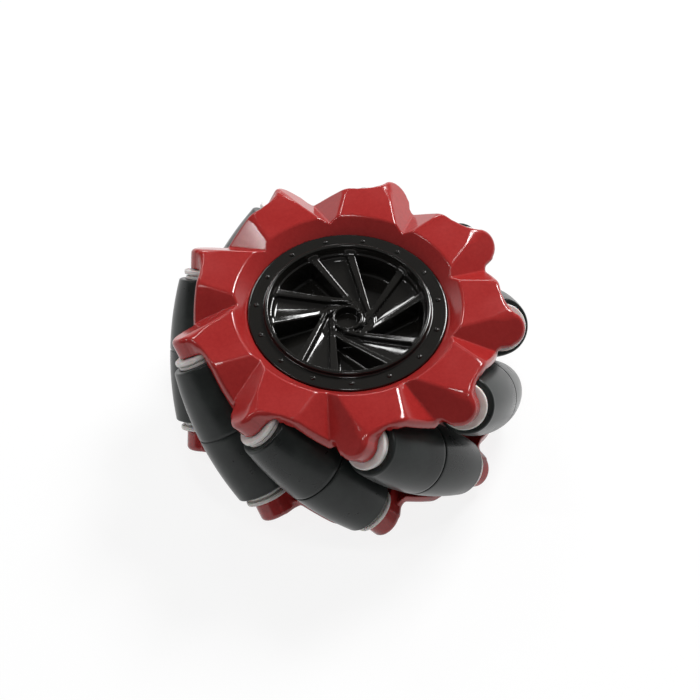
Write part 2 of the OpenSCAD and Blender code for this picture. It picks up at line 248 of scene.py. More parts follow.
# %% Make a moulded piece
def plain_mesh(name, points, faces):
    mesh = bpy.data.meshes.new(name)
    mesh.vertices.add(points.shape[1])
    mesh.vertices.foreach_set("co", points.T.astype(np.float32).ravel())
    mesh.loops.add(faces.size)
    mesh.loops.foreach_set("vertex_index", faces.ravel().astype(np.int32))
    mesh.polygons.add(len(faces))
    mesh.polygons.foreach_set("loop_start", np.arange(0, faces.size, 4, dtype=np.int32))
    mesh.update(calc_edges=True)
    mesh.validate()
    piece = bpy.data.objects.new(name, mesh)
    bpy.context.scene.collection.objects.link(piece)
    return piece


def freeze(piece):
    """Turns what the modifiers make into a plain mesh and takes them off."""
    result = bpy.data.meshes.new_from_object(
        piece.evaluated_get(bpy.context.evaluated_depsgraph_get()))
    piece.modifiers.clear()
    piece.data = result
    result.name = piece.name
    return piece


def moulded(name, form, low, high, step, keep, turned=False):
    points, faces = surface(form, low, high, step)
    piece = plain_mesh(name, points, faces)
    piece.modifiers.new("fewer faces", "DECIMATE").ratio = keep
    mesh = freeze(piece).data
    flat = np.empty(len(mesh.vertices) * 3, np.float32)
    mesh.vertices.foreach_get("co", flat)
    points = flat.reshape(-1, 3).T.astype(float)
    normals = slope(form, points, NORMAL_REACH)
    normals /= np.linalg.norm(normals, axis=0)
    if turned:
        points, normals = points * TURNED_OVER, normals * TURNED_OVER
    points[2] += half_w
    mesh.vertices.foreach_set("co", (points * MM).T.astype(np.float32).ravel())
    mesh.polygons.foreach_set("use_smooth", np.ones(len(mesh.polygons), bool))
    mesh.update()
    mesh.normals_split_custom_set_from_vertices(normals.T.tolist())
    print(name, "has", len(mesh.polygons), "faces")
    return piece


TURNED_OVER = np.array([[1.0], [-1.0], [-1.0]])
NORMAL_REACH = 0.05

# %% [markdown]
# ## The toothed plates
# Each plate is one moulding in glossy red ABS: a ring of nine teeth, each ending in a lug that
# holds a roller's axle, round a barrel with a web across it. One tooth and its neighbours are
# enough to describe, because the angle round the axis is folded into one ninth of the wheel.
# The rear plate is the same form turned over, with a drive socket instead of the cap's seat.


# %% The plane of a tooth's rising face
def slanted(spread, tilt):
    spread, tilt = math.radians(spread), math.radians(tilt)
    return (math.sin(spread) * math.sin(tilt), math.cos(spread) * math.sin(tilt), math.cos(tilt))


LEAN_COS, LEAN_SIN = math.cos(lean), math.sin(lean)
RIDGE_IN = 18.8
RIDGE = (axis_r - RIDGE_IN, half_w / math.tan(lean) - lug_face / LEAN_SIN, half_w)
RISE_TURN, RISE_TILT = 58.7, 36.5
RISE = slanted(RISE_TURN, RISE_TILT)
print("the valley starts", round(math.hypot(RIDGE[0], RIDGE[1]), 1), "mm from the axis")


# %% Coordinates along and around a roller's axle
def axle_frame(radius, angle, z):
    x, y = radius * np.cos(angle), radius * np.sin(angle)
    along = z * LEAN_COS - y * LEAN_SIN
    across = z * LEAN_SIN + y * LEAN_COS
    return x, y, along, across, x - axis_r


def rising(x, y, z):
    return (x - RIDGE[0]) * RISE[0] + (y - RIDGE[1]) * RISE[1] + (z - RIDGE[2]) * RISE[2]


# %% [markdown]
# A lug carries one end of a roller's axle. It is a post along the axle: round on the outside,
# straight towards the tooth's flat, and running into the tooth with a fillet. Its root is cut
# off at a slant, so that it doesn't show beyond the tooth.


# %% A lug: round at the rim, straight up to the flat
def lug(along, across, out):
    corner = np.array([lug_r * math.cos(lug_side), lug_r * math.sin(lug_side)])
    top = np.array([lug_r / 4, lug_r * 2])
    run = (top - corner) / np.linalg.norm(top - corner)
    side = (out - corner[0]) * run[1] - (across - corner[1]) * run[0]
    root = np.maximum(np.maximum(side, -across - lug_r), -2 * lug_r - out)
    root = np.maximum(root, out * math.sin(lug_side) - np.maximum(across, 0) * math.cos(lug_side))
    outline = join(np.hypot(out, across) - lug_r, root, ROOT_FILLET)
    return cut(between(along, seat, lug_face + RIM_SOFT), outline, LUG_ROUND)


ROOT_FILLET, LUG_ROUND, RIDGE_SOFT, RIM_SOFT = 0.8, 0.5, 0.4, 1.3


# %% [markdown]
# The form that both plates share is built up in order: a round flange, hollow behind, joined to
# the lugs; the flat and the slanted faces that cut it; room for the rollers and their flanges;
# and the funnel with the cap's seat. The ridges are crisp in the middle of the wheel and grow
# softer towards the rim, where the real mouldings are most rounded.


# %% The form that both plates share
def toothed(points):
    x, y, z = points
    radius, turn = np.hypot(x, y), np.arctan2(y, x)
    folded = turn - pitch * np.round(turn / pitch)
    solid, under = np.full(radius.shape, -FAR), np.full(radius.shape, -FAR)
    lugs, pockets, holes = (np.full(radius.shape, FAR) for _ in range(3))
    for neighbour in (-1, 0, 1, 2):
        xj, yj, along, across, out = axle_frame(radius, folded - neighbour * pitch, z)
        rise = rising(xj, yj, z)
        solid = np.maximum(solid, join(along - lug_face, rise, VALLEY_FILLET))
        under = np.maximum(under, np.minimum(along - lug_face + shell_t * LEAN_COS,
                                             rise + shell_t * RISE[2]))
        lugs = np.minimum(lugs, lug(along, across, out))
        off_axle = np.hypot(out, across)
        end_room = between(along, sleeve_end - POCKET_DEPTH, sleeve_end + POCKET_GAP)
        end_pocket = np.maximum(off_axle - POCKET_R, end_room)
        flange_pocket = np.maximum(off_axle - FLANGE_ROOM_R, between(along, 0, seat))
        pockets = np.minimum(pockets, np.minimum(end_pocket, flange_pocket))
        holes = np.minimum(holes, off_axle - hole_r)
    barrel = barrel_r + np.clip((z - half_w / 3) / (half_w / 3), 0, 1) * (mouth_r - barrel_r)
    hollow = cut(barrel - radius, np.maximum(z + shell_t - half_w, under), HOLLOW_ROUND)
    body = join(cut(radius - rim_r, -hollow, RIM_ROUND), lugs, LUG_FILLET)
    outward = np.clip((radius - rim_r + SOFT_FROM) / SOFT_RUN, 0, 1)
    soft = RIDGE_SOFT + (RIM_SOFT - RIDGE_SOFT) * outward
    body = cut(body, z - half_w, soft)
    body = cut(body, solid, soft)
    body = cut(body, -pockets, POCKET_ROUND)
    cone = (half_w - z - mouth_r + radius) * math.sqrt(0.5)
    funnel = np.maximum(cone, cap_edge - FUNNEL_BELOW - z)
    seat_ring = np.maximum(radius - cap_r - SEAT_GAP, ledge - z)
    body = cut(body, -np.minimum(funnel, seat_ring), SEAT_ROUND)
    return np.maximum(np.maximum(body, bore_r - radius), -z), holes, radius, turn


# Fillets and roundings, then where the edges start to soften and over what length.
VALLEY_FILLET, LUG_FILLET = 0.35, 0.9
HOLLOW_ROUND, RIM_ROUND, POCKET_ROUND, SEAT_ROUND = 1.0, 0.4, 0.3, 0.35
SOFT_FROM, SOFT_RUN = 3, 3.5
# Room for a sleeve's end and a bush's flange, then the funnel's foot and the gap round the cap.
POCKET_DEPTH, POCKET_GAP, FLANGE_ROOM_R = 4.5, 0.4, 7.2
FUNNEL_BELOW, SEAT_GAP = 0.5, 0.2

# %% [markdown]
# The rollers need a barrel's outline that touches the rolling circle all along. It follows from
# geometry: at each station of the axle, the shortest line to the rolling cylinder gives a radius
# and a place. The plates need it too, for the pockets round the sleeves' ends.


# %% The outline that rolls on one circle
def barrel_profile(s0):
    """Radius and place along the axle where a roller touches the rolling cylinder."""
    reach = np.hypot(axis_r, s0 * LEAN_SIN)
    depth = wheel_r - reach
    sine = s0 * LEAN_SIN / reach
    return depth * np.sqrt(1 - (sine * LEAN_SIN) ** 2), s0 + depth * sine * LEAN_SIN


SPAN = np.linspace(0, sleeve_end, 200)
SPAN_R, SPAN_S = barrel_profile(SPAN)
END_R = float(np.interp(sleeve_end, SPAN_S, SPAN_R))
END_ROOM = 0.8
POCKET_R = END_R + END_ROOM
print("a sleeve is", round(2 * END_R, 2), "mm across at its ends")


# %% The front plate
def around(radius, turn, count, circle_r):
    """Distance from the nearest of a circle of posts parallel to the axis."""
    step = 2 * math.pi / count
    near = turn - step * np.round(turn / step)
    return np.hypot(radius * np.cos(near) - circle_r, radius * np.sin(near))


# The screws' bosses, the web they stand on, and the hole for the wheel's own screw with the
# boss and the room for its head.
SCREWS, SCREW_CIRCLE_R, BOSS_R = 6, 17, 3.6
WEB_T, WEB_FILLET, OVERLAP = 3, 0.8, 0.1
FRONT_WEB_DEPTH, FRONT_SCREW_R = 13.5, 1.5
AXLE_R = 2.15
HEAD_BOSS_R, HEAD_HOLE_R, HEAD_HOLE_DEPTH = 7.2, 4.2, 3


def web_across(z, top, radius):
    """A flat web that runs a little way into the barrel's wall."""
    return np.maximum(between(z, top - WEB_T, top), radius - bore_r - OVERLAP)


def front_form(points):
    body, _, radius, turn = toothed(points)
    z = points[2]
    posts = around(radius, turn, SCREWS, SCREW_CIRCLE_R)
    top = half_w - FRONT_WEB_DEPTH
    body = join(body, web_across(z, top, radius), WEB_FILLET)
    bosses = np.minimum(posts - BOSS_R, radius - HEAD_BOSS_R)
    body = np.minimum(body, np.maximum(bosses, between(z, 0, top - 1)))
    head_hole = np.maximum(radius - HEAD_HOLE_R, top - HEAD_HOLE_DEPTH - z)
    holes = np.minimum(np.minimum(posts - FRONT_SCREW_R, radius - AXLE_R), head_hole)
    return np.maximum(body, -holes)


PLATE_BOX = ((-wheel_r, -wheel_r, 0), (wheel_r, wheel_r, half_w))
STEP, KEEP = ((0.42, 0.5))
front_plate = moulded("front_plate_moulding", front_form, *PLATE_BOX, STEP, KEEP)


# %% [markdown]
# The rear plate is drilled through its lugs for the axle pins. Its web lies nearer to the face,
# with room behind it for the screws' heads, and a boss in the middle takes the hexagonal
# coupling of the motor's shaft.


# %% The rear plate
def hexagon(x, y, across_flats):
    third = math.radians(60)
    flats = [np.abs(x * math.sin(k * third) + y * math.cos(k * third)) for k in range(3)]
    return np.maximum(np.maximum(flats[0], flats[1]), flats[2]) - across_flats / 2


def rear_form(points):
    body, holes, radius, turn = toothed(points)
    x, y, z = points
    body = cut(body, -holes, HOLE_ROUND)
    top = half_w - REAR_WEB_DEPTH
    posts = around(radius, turn, SCREWS, SCREW_CIRCLE_R)
    body = join(body, web_across(z, top, radius), WEB_FILLET)
    body = np.minimum(body, np.maximum(posts - BOSS_R, between(z, 0, top - 1)))
    boss = cut(radius - SOCKET_BOSS_R, between(z, 0, half_w - SOCKET_BOSS_DEPTH), BOSS_ROUND)
    body = join(body, boss, WEB_FILLET)
    socket_floor = half_w - SOCKET_BOSS_DEPTH - SOCKET_DEPTH
    socket = np.maximum(hexagon(x, y, SOCKET_FLATS), socket_floor - z)
    body = cut(body, -socket, POCKET_ROUND)
    body = cut(body, AXLE_R - radius, HOLE_ROUND)
    return np.maximum(np.maximum(body, REAR_SCREW_R - posts), -z)


HOLE_ROUND, BOSS_ROUND, REAR_WEB_DEPTH, REAR_SCREW_R = 0.25, 0.5, 8.5, 1.7
SOCKET_BOSS_R, SOCKET_BOSS_DEPTH = 10, 2
SOCKET_FLATS, SOCKET_DEPTH = 12.2, 6
rear_plate = moulded("rear_plate_moulding", rear_form, *PLATE_BOX, STEP, KEEP, turned=True)

# %% [markdown]
# ## The centre cap
# The cap is a black moulding in the shape of a small wheel cover: a flat rim, a raised lip, and
# a bowl with five twin spokes that fall towards a ring in the middle. It is made in the same way
# as the plates, because all of its ribs run into the bowl with soft fillets, and these catch
# the light as bright lines.

# %% Sizes of the cap
LIP_R, LIP_TOP = 22.3, cap_edge + 1.4
BOWL_R = LIP_R - 1.1
FLOOR = cap_edge - 7.8
DISC_R, DISC_TOP = 7.5, cap_edge - 4.6
RING_R, RING_TOP, RING_WALL, RING_DEPTH = 4.2, cap_edge - 2.9, 0.8, 2.7
SPOKES = 5
SPOKE_START, SPOKE_OPEN = math.radians(70.5), math.radians(28.5)
LEAD_OFFSET, TRAIL_OFFSET = 4.2, 6.2
RIB_TIP_W, RIB_W = 1.4, 2.4
RIB_LOW, RIB_FALL = cap_edge - 3.2, 2.6


# %% [markdown]
# A spoke is two ribs with a dished web between them. Both ribs pass the centre at a distance, so
# every spoke leans like a fan's blade, and their tops fall from the lip towards the disc.


# %% One rib, and the height of the spokes
def off_rib(x, y, angle, offset):
    """Distance across a rib whose line passes the centre at the offset, and along it."""
    turn = angle + math.asin(offset / BOWL_R)
    u = x * math.cos(turn) + y * math.sin(turn)
    v = y * math.cos(turn) - x * math.sin(turn) + offset
    return u, v


def rib_wall(u, v):
    width = RIB_TIP_W + (RIB_W - RIB_TIP_W) * np.clip(u / LIP_R, 0, 1)
    return np.maximum(np.abs(v) - width / 2, -u)


def spoke_top(radius):
    outward = np.clip((radius - DISC_R) / (BOWL_R - DISC_R), 0, 1)
    return RIB_LOW + RIB_FALL * outward


# %% Rim, lip and bowl
def dish(radius, z):
    rim = cut(radius - cap_r, between(z, ledge, cap_edge), EDGE)
    wall = cut(radius - WALL_R, between(z, FLOOR - FLOOR_T, cap_edge - 0.2), FINE_EDGE)
    lip = cut(between(radius, BOWL_R - 0.3, LIP_R), between(z, ledge, LIP_TOP), LIP_EDGE)
    body = np.minimum(join(np.minimum(rim, wall), lip, EDGE), skirt(radius, z))
    inner = np.interp(z, INNER_Z, INNER_R)
    return cut(body, -cut(radius - inner, FLOOR - z, BOWL_ROUND), MOUTH_EDGE)


def skirt(radius, z):
    tube = between(radius, bore_r - 1.5, bore_r - 0.2)
    return np.maximum(tube, between(z, ledge - 3.4, ledge + 0.5))


# The roundings of the cap, then the wall under the lip and the bowl's steep inner side.
EDGE, FINE_EDGE, LIP_EDGE, MOUTH_EDGE, BOWL_ROUND = 0.35, 0.3, 0.45, 0.25, 1.0
WALL_R, FLOOR_T = 22.5, 1.3
INNER_Z = [FLOOR, cap_edge - 1.2, cap_edge - 1.1, LIP_TOP - 0.9]
INNER_R = [19.9, 20.3, 20.75, 21.2]


# %% Spokes, disc and ring
def cap_form(points):
    x, y, z = points
    radius, turn = np.hypot(x, y), np.arctan2(y, x)
    step = 2 * math.pi / SPOKES
    folded = turn - SPOKE_START - step * np.round((turn - SPOKE_START) / step)
    ribs, webs = np.full(radius.shape, FAR), np.full(radius.shape, FAR)
    top = spoke_top(radius)
    for neighbour in (-1, 0, 1, 2):
        angle = folded + neighbour * step - step
        xj, yj = radius * np.cos(angle), radius * np.sin(angle)
        trail_u, trail_v = off_rib(xj, yj, 0, TRAIL_OFFSET)
        lead_u, lead_v = off_rib(xj, yj, SPOKE_OPEN, LEAD_OFFSET)
        walls = np.minimum(rib_wall(trail_u, trail_v), rib_wall(lead_u, lead_v))
        ribs = np.minimum(ribs, walls)
        middle = np.minimum(trail_v, -lead_v)
        dished = top - WEB_DROP + WEB_DISH * np.exp(-np.maximum(middle, 0) / WEB_CURVE)
        web = np.maximum(np.maximum(-trail_v, lead_v), np.maximum(-trail_u, -lead_u))
        webs = np.minimum(webs, np.maximum(web, z - dished))
    inside = np.maximum(radius - BOWL_R, FLOOR - 0.5 - z)
    spokes = join(cut(ribs, z - top, LIP_EDGE), webs, RIB_FILLET)
    ring = cut(radius - RING_R, z - RING_TOP, FINE_EDGE)
    disc = join(cut(radius - DISC_R, z - DISC_TOP, RIB_FILLET), ring, DISC_FILLET)
    hollow = np.maximum(radius - RING_R + RING_WALL, RING_TOP - RING_DEPTH - z)
    middle = cut(join(spokes, disc, DISC_FILLET), -hollow, MOUTH_EDGE)
    return join(dish(radius, z), np.maximum(middle, inside), BOWL_FILLET)


WEB_DROP, WEB_DISH, WEB_CURVE = 1.9, 0.6, 1.5
RIB_FILLET, DISC_FILLET, BOWL_FILLET = 0.4, 0.5, 0.9
CAP_BOX = ((-cap_r, -cap_r, FLOOR - 1.5), (cap_r, cap_r, LIP_TOP))
CAP_STEP, CAP_KEEP = 0.28, 0.55
centre_cap = moulded("centre_cap_moulding", cap_form, *CAP_BOX, CAP_STEP, CAP_KEEP)

# %% [markdown]
# ## Small parts that repeat around the axis
# Rivet heads, lug nuts and assembly screws each stand on a circle about the wheel's axis. One
# Geometry Nodes tree puts copies of any such part on a circle, with the number of parts, the
# circle's radius and the first one's angle as named inputs, so a change is one number.


# %% A helper that adds a node
def node(tree, kind, values=None, links=None, stops=(), **settings):
    """Adds a node with settings, values by socket, and links; a linked node gives its first output."""
    made = tree.nodes.new(kind)
    for key, value in settings.items():
        setattr(made, key, value)
    for key, value in (values or {}).items():
        made.inputs[key].default_value = value
    for key, source in (links or {}).items():
        given = source.outputs[0] if isinstance(source, bpy.types.Node) else source
        tree.links.new(given, made.inputs[key])
    for k, (at, tone) in enumerate(stops):
        points = made.color_ramp.elements
        point = points[k] if k < len(points) else points.new(at)
        point.position = at
        point.color = tone if isinstance(tone, list) else [tone, tone, tone, 1.0]
    return made


NOISE, RAMP, BUMP = "ShaderNodeTexNoise", "ShaderNodeValToRGB", "ShaderNodeBump"
MIX, MATH, VECTOR = "ShaderNodeMix", "ShaderNodeMath", "ShaderNodeCombineXYZ"


# %% The tree that repeats a part around the axis
def ring_tree():
    tree = bpy.data.node_groups.new("repeat around the axis", "GeometryNodeTree")
    for label, kind, way in (("Part", "Geometry", "INPUT"), ("Number", "Int", "INPUT"),
                             ("Circle radius", "Float", "INPUT"), ("First angle", "Float", "INPUT"),
                             ("Finish", "Material", "INPUT"), ("Ring", "Geometry", "OUTPUT")):
        tree.interface.new_socket(label, in_out=way, socket_type="NodeSocket" + kind)
    given = tree.nodes.new("NodeGroupInput").outputs
    count = node(tree, "GeometryNodePoints", {}, {"Count": given["Number"]})
    index = node(tree, "GeometryNodeInputIndex")
    step = node(tree, MATH, {0: math.tau}, {1: given["Number"]}, operation="DIVIDE")
    terms = {0: index, 1: step, 2: given["First angle"]}
    angle = node(tree, MATH, {}, terms, operation="MULTIPLY_ADD")
    turn = node(tree, VECTOR, {}, {"Z": angle})
    out = node(tree, VECTOR, {}, {"X": given["Circle radius"]})
    swung = {"Vector": out, "Angle": angle}
    place = node(tree, "ShaderNodeVectorRotate", {}, swung, rotation_type="Z_AXIS")
    moved = node(tree, "GeometryNodeSetPosition", {}, {"Geometry": count, "Position": place})
    copied = {"Points": moved, "Instance": given["Part"], "Rotation": turn}
    copies = node(tree, "GeometryNodeInstanceOnPoints", {}, copied)
    real = node(tree, "GeometryNodeRealizeInstances", {}, {"Geometry": copies})
    coated = {"Geometry": real, "Material": given["Finish"]}
    finished = node(tree, "GeometryNodeSetMaterial", {}, coated)
    node(tree, "NodeGroupOutput", {}, {0: finished})
    return tree


RING_TREE = ring_tree()


def with_tree(piece, tree, values):
    modifier = piece.modifiers.new(tree.name, "NODES")
    modifier.node_group = tree
    sockets = {item.name: item.identifier for item in tree.interface.items_tree}
    for label, value in values.items():
        modifier[sockets[label]] = value
    return freeze(piece)


print("the tree has", len(RING_TREE.nodes), "nodes")

# %% [markdown]
# ## Finishes
# Six materials make the wheel: glossy red ABS, high-gloss black ABS, satin rubber, white nylon,
# dark nylon for the cores, and zinc-plated steel. Each is a base shader with one to four noise
# patterns in Object coordinates. Their scales are real sizes in millimetres; the finest grain is
# drawn a little coarser than it is, so that it still breaks up the highlights.


# %% Colours and pattern scales
def colour(code):
    """An sRGB hex colour as linear values."""
    parts = [int(code[k:k + 2], 16) / 255 for k in (0, 2, 4)]
    return [p / 12.92 if p <= 0.04045 else ((p + 0.055) / 1.055) ** 2.4 for p in parts] + [1.0]


def per_mm(size):
    """Scale of a noise whose spots are about this many millimetres across."""
    return 1 / (size * MM)


def new_material(name):
    material = bpy.data.materials.new(name)
    material.use_nodes = True
    tree = material.node_tree
    tree.nodes.clear()
    place = node(tree, "ShaderNodeTexCoord").outputs["Object"]
    return material, tree, place


def finish_with(tree, values, links):
    shader = node(tree, "ShaderNodeBsdfPrincipled", values, links)
    node(tree, "ShaderNodeOutputMaterial", {}, {"Surface": shader})


# %% [markdown]
# Glossy red ABS, injection moulded in a polished tool. The eye sees a deep red with sharp
# reflections that waver a little where the plastic shrank, and a fine mottle in the pigment.


# %% Red ABS
def red_abs():
    material, tree, place = new_material("moulded red ABS")
    mottle = node(tree, NOISE, {"Scale": per_mm(1.1), "Detail": 4.0, "Roughness": 0.7}, {"Vector": place})
    clouds = node(tree, NOISE, {"Scale": per_mm(14), "Detail": 2.0}, {"Vector": place})
    waves = node(tree, NOISE, {"Scale": per_mm(7), "Detail": 1.0}, {"Vector": place})
    peel = node(tree, NOISE, {"Scale": per_mm(0.9), "Detail": 2.0}, {"Vector": place})
    fine = node(tree, RAMP, {}, {"Fac": mottle}, [(0.3, colour("9C2423")), (0.7, colour("B4312F"))])
    deep = node(tree, RAMP, {}, {"Fac": clouds}, [(0.3, colour("A22625")), (0.7, colour("B02F2D"))])
    mixed = node(tree, MIX, {0: 0.5}, {6: fine, 7: deep}, data_type="RGBA")
    gloss = node(tree, RAMP, {}, {"Fac": clouds}, [(0.3, 0.10), (0.7, 0.2)])
    shrunk = node(tree, BUMP, {"Strength": 1.0, "Distance": 0.03 * MM}, {"Height": waves})
    skin = node(tree, BUMP, {"Strength": 1.0, "Distance": 0.004 * MM}, {"Height": peel, "Normal": shrunk})
    finish_with(tree, {"IOR": 1.53}, {"Base Color": mixed.outputs[2], "Roughness": gloss, "Normal": skin})
    return material


# %% [markdown]
# High-gloss black ABS. It is close to black where nothing is mirrored, so its shape is read from
# the reflections, and the only texture is a slight ripple and a little dust.


# %% Black ABS
def black_abs():
    material, tree, place = new_material("high-gloss black ABS")
    motes = node(tree, NOISE, {"Scale": per_mm(0.35), "Detail": 3.0, "Roughness": 0.6}, {"Vector": place})
    flow = node(tree, NOISE, {"Scale": per_mm(5), "Detail": 3.0}, {"Vector": place})
    waves = node(tree, NOISE, {"Scale": per_mm(3.5), "Detail": 1.0}, {"Vector": place})
    dust = node(tree, RAMP, {}, {"Fac": motes}, [(0.66, 0.0), (0.74, 1.0)])
    tone = node(tree, MIX, {6: colour("1E1D1B"), 7: colour("2C2B28")}, {0: dust}, data_type="RGBA")
    gloss = node(tree, RAMP, {}, {"Fac": flow}, [(0.3, 0.05), (0.7, 0.13)])
    ripple = node(tree, BUMP, {"Strength": 1.0, "Distance": 0.02 * MM}, {"Height": waves})
    finish_with(tree, {"IOR": 1.53}, {"Base Color": tone.outputs[2], "Roughness": gloss, "Normal": ripple})
    return material


# %% [markdown]
# The sleeves are moulded rubber: nearly black with a satin sheen, a very fine pitted skin, and
# slightly paler patches where handling and rolling have polished or dusted it.


# %% Satin rubber
def satin_rubber():
    material, tree, place = new_material("moulded rubber")
    grain = node(tree, NOISE, {"Scale": per_mm(0.35), "Detail": 3.0, "Roughness": 0.6}, {"Vector": place})
    patches = node(tree, NOISE, {"Scale": per_mm(9), "Detail": 4.0, "Roughness": 0.6}, {"Vector": place})
    tone = node(tree, RAMP, {}, {"Fac": patches},
                [(0.3, colour("1B1E1D")), (0.5, colour("232726")), (0.72, colour("2D3230"))])
    shine = node(tree, RAMP, {}, {"Fac": patches}, [(0.3, 0.25), (0.7, 0.36)])
    pits = node(tree, BUMP, {"Strength": 0.6, "Distance": 0.008 * MM}, {"Height": grain})
    finish_with(tree, {"IOR": 1.52, "Specular IOR Level": 0.32, "Sheen Weight": 0.22, "Sheen Roughness": 0.3},
                {"Base Color": tone, "Roughness": shine, "Normal": pits})
    return material


# %% [markdown]
# The bushes are moulded white nylon: a warm, slightly see-through white with a soft shine that
# varies in faint clouds, and a skin so fine that it only breaks up the highlights.


# %% White nylon
def white_nylon():
    material, tree, place = new_material("white nylon")
    clouds = node(tree, NOISE, {"Scale": per_mm(2.5), "Detail": 3.0, "Roughness": 0.6}, {"Vector": place})
    grain = node(tree, NOISE, {"Scale": per_mm(0.3), "Detail": 2.0}, {"Vector": place})
    tone = node(tree, RAMP, {}, {"Fac": clouds}, [(0.3, colour("E4DEDA")), (0.65, colour("F2EEEA"))])
    shine = node(tree, RAMP, {}, {"Fac": clouds}, [(0.3, 0.34), (0.7, 0.5)])
    skin = node(tree, BUMP, {"Strength": 0.6, "Distance": 0.006 * MM}, {"Height": grain})
    finish_with(tree, {"IOR": 1.53, "Subsurface Weight": 0.15, "Subsurface Scale": 0.8 * MM},
                {"Base Color": tone, "Roughness": shine, "Normal": skin})
    return material


# %% [markdown]
# The rollers' cores are glass-filled black nylon, which is matt and finely speckled. The pins and
# screws are steel with bright zinc plating: a cool grey metal with a fine satin grain.


# %% Dark nylon and plated steel
def dark_nylon():
    material, tree, place = new_material("glass-filled nylon")
    speck = node(tree, NOISE, {"Scale": per_mm(0.4), "Detail": 4.0, "Roughness": 0.7}, {"Vector": place})
    tone = node(tree, RAMP, {}, {"Fac": speck}, [(0.35, colour("181918")), (0.7, colour("2A2B2A"))])
    matt = node(tree, RAMP, {}, {"Fac": speck}, [(0.3, 0.5), (0.7, 0.66)])
    skin = node(tree, BUMP, {"Strength": 0.6, "Distance": 0.01 * MM}, {"Height": speck})
    finish_with(tree, {"IOR": 1.53}, {"Base Color": tone, "Roughness": matt, "Normal": skin})
    return material


def zinc_plate():
    material, tree, place = new_material("zinc-plated steel")
    grain = node(tree, NOISE, {"Scale": per_mm(0.25), "Detail": 3.0, "Roughness": 0.6}, {"Vector": place})
    tarnish = node(tree, NOISE, {"Scale": per_mm(3), "Detail": 3.0}, {"Vector": place})
    tone = node(tree, RAMP, {}, {"Fac": tarnish}, [(0.3, colour("A9ACAF")), (0.7, colour("C9CBCC"))])
    satin = node(tree, RAMP, {}, {"Fac": tarnish}, [(0.3, 0.22), (0.7, 0.38)])
    skin = node(tree, BUMP, {"Strength": 0.8, "Distance": 0.004 * MM}, {"Height": grain})
    finish_with(tree, {"Metallic": 1.0}, {"Base Color": tone, "Roughness": satin, "Normal": skin})
    return material


FINISH = {"red_plastic": red_abs(), "black_plastic": black_abs(), "sleeve_rubber": satin_rubber(),
          "core_plastic": dark_nylon(), "white_plastic": white_nylon(), "steel": zinc_plate()}
print("finishes:", sorted(FINISH))


# %% Give a piece its finish and its body, and hide the node that it replaces
def wear(piece, slot_name):
    piece.data.materials.clear()
    piece.data.materials.append(FINISH[slot_name])


for piece, replaced, slot_name in ((front_plate, "front_plate", "red_plastic"),
                                   (rear_plate, "rear_plate", "red_plastic"),
                                   (centre_cap, "centre_cap", "black_plastic")):
    wear(piece, slot_name)
    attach(piece, "hub")
    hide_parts(replaced)

# %% [markdown]
# ## Rivets, lug nuts and screws
# A rivet head is a low dome, and a lug nut is a short post with a round top; both are turned
# from a short outline about their own axis. A screw is a pan head with a cross recess and a
# plain shank, made as a small moulding so that the recess has soft edges.


# %% Turn a solid of revolution with a closed pole
def dome(name, outline, steps):
    """Spins an outline that starts on the axis at the top and ends on the axis at the bottom."""
    mesh = bpy.data.meshes.new(name)
    ring = [(math.cos(math.tau * k / steps), math.sin(math.tau * k / steps)) for k in range(steps)]
    points = [(0, 0, outline[0][1])]
    points += [(r * c, r * s, z) for r, z in outline[1:-1] for c, s in ring]
    points.append((0, 0, outline[-1][1]))
    last = len(points) - 1
    faces = [(0, 1 + k, 1 + (k + 1) % steps) for k in range(steps)]
    for row in range(len(outline) - 3):
        start = 1 + row * steps
        for k in range(steps):
            here, beside = start + k, start + (k + 1) % steps
            faces.append((here, here + steps, beside + steps, beside))
    start = last - steps
    faces += [(last, start + (k + 1) % steps, start + k) for k in range(steps)]
    mesh.from_pydata([(x * MM, y * MM, z * MM) for x, y, z in points], [], faces)
    mesh.polygons.foreach_set("use_smooth", [True] * len(mesh.polygons))
    piece = bpy.data.objects.new(name, mesh)
    bpy.context.scene.collection.objects.link(piece)
    return piece


def head_outline(radius, low, high, rounding):
    """A post whose top edge is rounded over a given height."""
    arc = [math.radians(a) for a in range(90, -1, -15)]
    edge = [(radius - rounding * (1 - math.cos(a)), high - rounding * (1 - math.sin(a))) for a in arc]
    return [(0, high)] + edge + [(radius, low), (0, low)]


# %% Rivet heads around the cap's rim
def floor_z(z):
    """Height above the floor of a height above the middle plane."""
    return z + half_w


RIVETS, RIVET_CIRCLE_R, RIVET_START = 15, 24.4, math.radians(14.4)
RIVET_R, RIVET_H, RIVET_ROUND = 0.65, 0.4, 0.4
NUT_CIRCLE_R, NUT_START = 5.6, SPOKE_START - math.radians(4.5)
NUT_R, NUT_H, NUT_ROUND = 1.0, 1.4, 0.45
head = head_outline(RIVET_R, floor_z(cap_edge - 0.6), floor_z(cap_edge + RIVET_H), RIVET_ROUND)
rivets = with_tree(dome("rivet_heads", head, 20), RING_TREE, {
    "Number": RIVETS, "Circle radius": RIVET_CIRCLE_R * MM, "First angle": RIVET_START,
    "Finish": FINISH["black_plastic"]})
head = head_outline(NUT_R, floor_z(FLOOR), floor_z(DISC_TOP + NUT_H), NUT_ROUND)
nuts = with_tree(dome("lug_nuts", head, 24), RING_TREE, {
    "Number": SPOKES, "Circle radius": NUT_CIRCLE_R * MM, "First angle": NUT_START,
    "Finish": FINISH["black_plastic"]})
for piece in (rivets, nuts):
    wear(piece, "black_plastic")
    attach(piece, "hub")
print("rivet faces:", len(rivets.data.polygons), "nut faces:", len(nuts.data.polygons))

# %% Screws that join the plates
SCREW_LEN, HEAD_R, HEAD_H, SHANK_R = 20, 2.8, 2.2, 1.45
CROSS_REACH, CROSS_HALF_W, CROSS_DEPTH = 1.7, 0.3, 1.2
SCREW_TOP = half_w - REAR_WEB_DEPTH + HEAD_H


